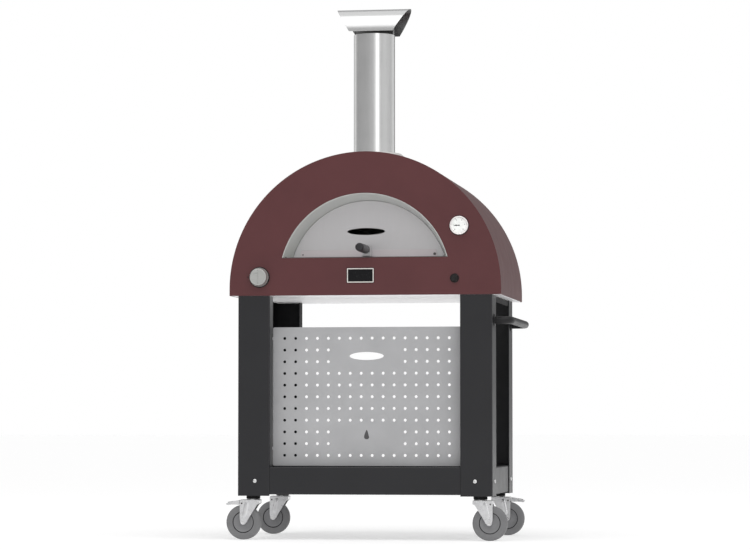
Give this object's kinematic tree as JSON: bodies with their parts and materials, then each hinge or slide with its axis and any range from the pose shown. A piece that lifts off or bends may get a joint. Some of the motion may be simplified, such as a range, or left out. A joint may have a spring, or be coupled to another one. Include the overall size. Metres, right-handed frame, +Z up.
{
  "type": "pizza oven",
  "caption": "Domed outdoor pizza oven with an arched mouth, a lift-out door, a capped flue and a wheeled steel stand with a perforated front panel.",
  "frame": {"origin": "middle of the underside of the whole object's box, on the floor under the wheels", "axes": "+Z up, -Y out of the oven's mouth, +X to the right of someone who faces the mouth"},
  "size_m": [0.9902, 0.77, 1.839],
  "materials": {
    "burgundy_paint": "satin",
    "pale_tray": "satin",
    "satin_steel": "satin",
    "panel_grey": "satin",
    "fibre_blanket": "matte",
    "fibre_board": "matte",
    "refractory_bed": "matte",
    "hearth_tile": "matte",
    "valve_brass": "satin",
    "knob_grey": "satin",
    "burner_steel": "satin",
    "black_plastic": "satin",
    "dial_case": "satin",
    "needle_black": "matte",
    "lens_glass": "gloss",
    "collar_steel": "satin",
    "bright_stainless": "polished",
    "badge_black": "satin",
    "grip_plastic": "matte",
    "charcoal_paint": "matte",
    "spacer_black": "matte",
    "caster_zinc": "satin",
    "wheel_grey": "matte"
  },
  "bodies": {
    "oven_and_stand": {"front_panel": "burgundy_paint", "outer_dome": "burgundy_paint", "rear_cover": "burgundy_paint", "base_tray": "pale_tray", "mouth_surround": "satin_steel", "chamber": "satin_steel", "insulation_blanket": "fibre_blanket", "insulation_board": "fibre_board", "hearth_base": "refractory_bed", "hearth_tile_left": "hearth_tile", "hearth_tile_right": "hearth_tile", "gas_valve": "valve_brass", "burner_pipe": "burner_steel", "igniter_body": "black_plastic", "thermometer_case": "dial_case", "thermometer_lens": "lens_glass", "flue_collar": "collar_steel", "flue_pipe": "bright_stainless", "chimney_cowl": "bright_stainless", "cowl_strap": "bright_stainless", "badge_plate": "badge_black", "leg_front_left": "charcoal_paint", "leg_front_right": "charcoal_paint", "leg_rear_left": "charcoal_paint", "leg_rear_right": "charcoal_paint", "lower_rail_front": "charcoal_paint", "lower_rail_rear": "charcoal_paint", "lower_rail_left": "charcoal_paint", "lower_rail_right": "charcoal_paint", "top_rail_left": "charcoal_paint", "top_rail_right": "charcoal_paint", "push_handle": "charcoal_paint", "caster_spacer_front_left": "spacer_black", "caster_spacer_front_right": "spacer_black", "caster_spacer_rear_left": "spacer_black", "caster_spacer_rear_right": "spacer_black"},
    "door": {"door_panel": "satin_steel", "door_liner": "satin_steel", "door_foot": "satin_steel", "door_bracket": "satin_steel", "door_grip": "grip_plastic"},
    "valve_stem": {"valve_stem": "valve_brass"},
    "control_knob": {"control_knob": "knob_grey"},
    "igniter_button": {"igniter_button": "black_plastic"},
    "thermometer_needle": {"thermometer_needle": "needle_black"},
    "perforated_panel": {"perforated_panel": "panel_grey"},
    "caster_front_left": {"caster_fork_front_left": "caster_zinc", "caster_axle_front_left": "caster_zinc"},
    "wheel_front_left": {"caster_wheel_front_left": "wheel_grey"},
    "caster_front_right": {"caster_fork_front_right": "caster_zinc", "caster_axle_front_right": "caster_zinc"},
    "wheel_front_right": {"caster_wheel_front_right": "wheel_grey"},
    "caster_rear_left": {"caster_fork_rear_left": "caster_zinc", "caster_axle_rear_left": "caster_zinc"},
    "wheel_rear_left": {"caster_wheel_rear_left": "wheel_grey"},
    "caster_rear_right": {"caster_fork_rear_right": "caster_zinc", "caster_axle_rear_right": "caster_zinc"},
    "wheel_rear_right": {"caster_wheel_rear_right": "wheel_grey"},
    "brake_front_left": {"brake_lever_front_left": "caster_zinc"},
    "brake_rear_right": {"brake_lever_rear_right": "caster_zinc"}
  },
  "joints": [
    {"name": "door_pull", "type": "slide", "parent": "oven_and_stand", "child": "door", "axis": [0, -1, 0], "range_m": [0, 0.25]},
    {"name": "valve_push", "type": "slide", "parent": "oven_and_stand", "child": "valve_stem", "axis": [0, 1, 0], "range_m": [0, 0.003], "stiffness_N_per_m": 1500},
    {"name": "knob_turn", "type": "hinge", "parent": "valve_stem", "child": "control_knob", "pos_m": [-0.37365, -0.295, 0.8957], "axis": [0, -1, 0], "range_deg": [0, 180]},
    {"name": "igniter_push", "type": "slide", "parent": "oven_and_stand", "child": "igniter_button", "axis": [0, 1, 0], "range_m": [0, 0.004], "stiffness_N_per_m": 1200},
    {"name": "needle_turn", "type": "hinge", "parent": "oven_and_stand", "child": "thermometer_needle", "pos_m": [0.31485, -0.281, 1.0667], "axis": [0, 1, 0], "range_deg": [-45, 225], "stiffness_Nm_per_rad": 0.002},
    {"name": "panel_lift", "type": "slide", "parent": "oven_and_stand", "child": "perforated_panel", "axis": [0, 0, 1], "range_m": [0, 0.012]},
    {"name": "swivel_front_left", "type": "hinge", "parent": "oven_and_stand", "child": "caster_front_left", "pos_m": [-0.40215, -0.232, 0.13], "axis": [0, 0, 1], "continuous": true},
    {"name": "roll_front_left", "type": "hinge", "parent": "caster_front_left", "child": "wheel_front_left", "pos_m": [-0.43495, -0.232, 0.0593], "axis": [0, 1, 0], "continuous": true},
    {"name": "swivel_front_right", "type": "hinge", "parent": "oven_and_stand", "child": "caster_front_right", "pos_m": [0.38085, -0.232, 0.13], "axis": [0, 0, 1], "continuous": true},
    {"name": "roll_front_right", "type": "hinge", "parent": "caster_front_right", "child": "wheel_front_right", "pos_m": [0.41365, -0.232, 0.0593], "axis": [0, 1, 0], "continuous": true},
    {"name": "swivel_rear_left", "type": "hinge", "parent": "oven_and_stand", "child": "caster_rear_left", "pos_m": [-0.40215, 0.302, 0.13], "axis": [0, 0, 1], "continuous": true},
    {"name": "roll_rear_left", "type": "hinge", "parent": "caster_rear_left", "child": "wheel_rear_left", "pos_m": [-0.43495, 0.302, 0.0593], "axis": [0, 1, 0], "continuous": true},
    {"name": "swivel_rear_right", "type": "hinge", "parent": "oven_and_stand", "child": "caster_rear_right", "pos_m": [0.38085, 0.302, 0.13], "axis": [0, 0, 1], "continuous": true},
    {"name": "roll_rear_right", "type": "hinge", "parent": "caster_rear_right", "child": "wheel_rear_right", "pos_m": [0.41365, 0.302, 0.0593], "axis": [0, 1, 0], "continuous": true},
    {"name": "brake_front_left", "type": "hinge", "parent": "caster_front_left", "child": "brake_front_left", "pos_m": [-0.45135, -0.232, 0.1315], "axis": [0, -1, 0], "range_deg": [0, 15]},
    {"name": "brake_rear_right", "type": "hinge", "parent": "caster_rear_right", "child": "brake_rear_right", "pos_m": [0.43005, 0.302, 0.1315], "axis": [0, 1, 0], "range_deg": [0, 15]}
  ]
}
